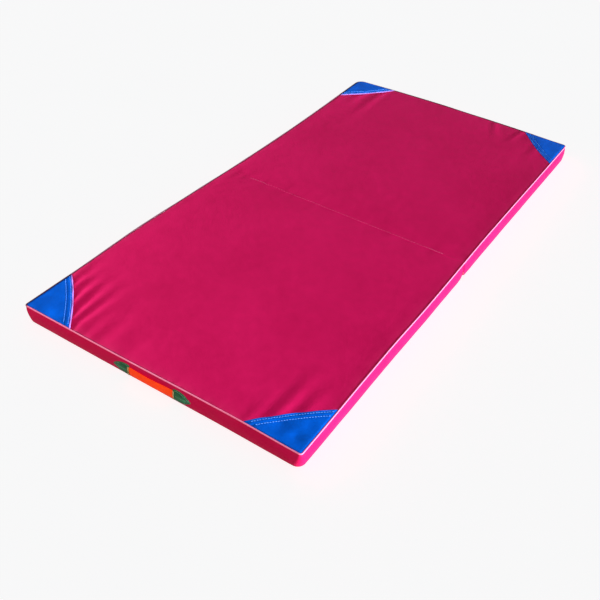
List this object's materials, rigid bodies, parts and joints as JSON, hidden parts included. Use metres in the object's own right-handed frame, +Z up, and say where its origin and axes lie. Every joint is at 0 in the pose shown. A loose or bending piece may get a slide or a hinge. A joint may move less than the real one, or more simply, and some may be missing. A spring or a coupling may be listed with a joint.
{
  "type": "folding gym mat",
  "caption": "Folding gym mat: foam panels in sewn vinyl covers joined along a fold, with piped top edges, corner reinforcements, carrying straps on the ends and zips in the fold.",
  "frame": {"origin": "centre of the underside, on the fold line, with the mat laid open", "axes": "+Z up out of the top sheet, +Y along the length from the near end to the far end, +X along the fold line to the right of someone standing at the near end"},
  "size_m": [1.004, 2.02, 0.0671],
  "materials": {
    "foam": "closed-cell foam, matt",
    "cover_top": "coated fabric, satin",
    "cover_wall": "coated fabric, satin",
    "cover_base": "coated fabric with a grip grain, matt",
    "corner_vinyl": "coated fabric, satin",
    "patch_thread": "sewing thread",
    "fold_thread": "sewing thread",
    "piping": "smooth vinyl piping",
    "webbing": "flat woven webbing",
    "leaf_hide": "grained, matt",
    "zip_tape": "woven tape",
    "zip_coil": "moulded coil",
    "zip_metal": "plated, satin"
  },
  "bodies": {
    "near_panel": {"foam_core_near": "foam", "base_sheet_near": "cover_base", "wall_band_near": "cover_wall", "inner_wall_near": "cover_wall", "top_sheet_near": "cover_top", "corner_patch_near_left": "corner_vinyl", "corner_patch_near_right": "corner_vinyl", "patch_stitching_near": "patch_thread", "piping_near": "piping", "handle_strap_ends_near": "webbing", "handle_leaf_near_left": "leaf_hide", "handle_leaf_near_right": "leaf_hide", "zip_tapes_near": "zip_tape", "zip_coils_near": "zip_coil", "zip_end_stops_near": "zip_metal", "fold_web": "cover_top", "fold_stitching": "fold_thread"},
    "far_panel": {"foam_core_far": "foam", "base_sheet_far": "cover_base", "wall_band_far": "cover_wall", "inner_wall_far": "cover_wall", "top_sheet_far": "cover_top", "corner_patch_far_left": "corner_vinyl", "corner_patch_far_right": "corner_vinyl", "patch_stitching_far": "patch_thread", "piping_far": "piping", "handle_strap_ends_far": "webbing", "handle_leaf_far_left": "leaf_hide", "handle_leaf_far_right": "leaf_hide", "zip_tapes_far": "zip_tape", "zip_coils_far": "zip_coil", "zip_end_stops_far": "zip_metal"},
    "handle_near": {"handle_strap_near": "webbing"},
    "handle_far": {"handle_strap_far": "webbing"},
    "zip_slide_near": {"zip_slider_near": "zip_metal"},
    "zip_slide_far": {"zip_slider_far": "zip_metal"},
    "zip_tab_near": {"zip_pull_near": "zip_metal"},
    "zip_tab_far": {"zip_pull_far": "zip_metal"}
  },
  "joints": [
    {"name": "fold", "type": "hinge", "parent": "near_panel", "child": "far_panel", "pos_m": [0, 0, 0.0675], "axis": [1, 0, 0], "range_deg": [0, 180], "deforming": ["fold_web", "fold_stitching"]},
    {"name": "strap_bow_near", "type": "slide", "parent": "near_panel", "child": "handle_near", "axis": [0, -1, 0], "range_m": [0, 0.018]},
    {"name": "strap_bow_far", "type": "slide", "parent": "far_panel", "child": "handle_far", "axis": [0, 1, 0], "range_m": [0, 0.018]},
    {"name": "zip_run_near", "type": "slide", "parent": "near_panel", "child": "zip_slide_near", "axis": [1, 0, 0], "range_m": [0, 0.96]},
    {"name": "zip_run_far", "type": "slide", "parent": "far_panel", "child": "zip_slide_far", "axis": [-1, 0, 0], "range_m": [0, 0.96]},
    {"name": "tab_swing_near", "type": "hinge", "parent": "zip_slide_near", "child": "zip_tab_near", "pos_m": [-0.483, -0.0026, 0.0325], "axis": [0, 1, 0], "range_deg": [-135, 45]},
    {"name": "tab_swing_far", "type": "hinge", "parent": "zip_slide_far", "child": "zip_tab_far", "pos_m": [0.483, 0.0026, 0.0325], "axis": [0, -1, 0], "range_deg": [-135, 45]}
  ]
}
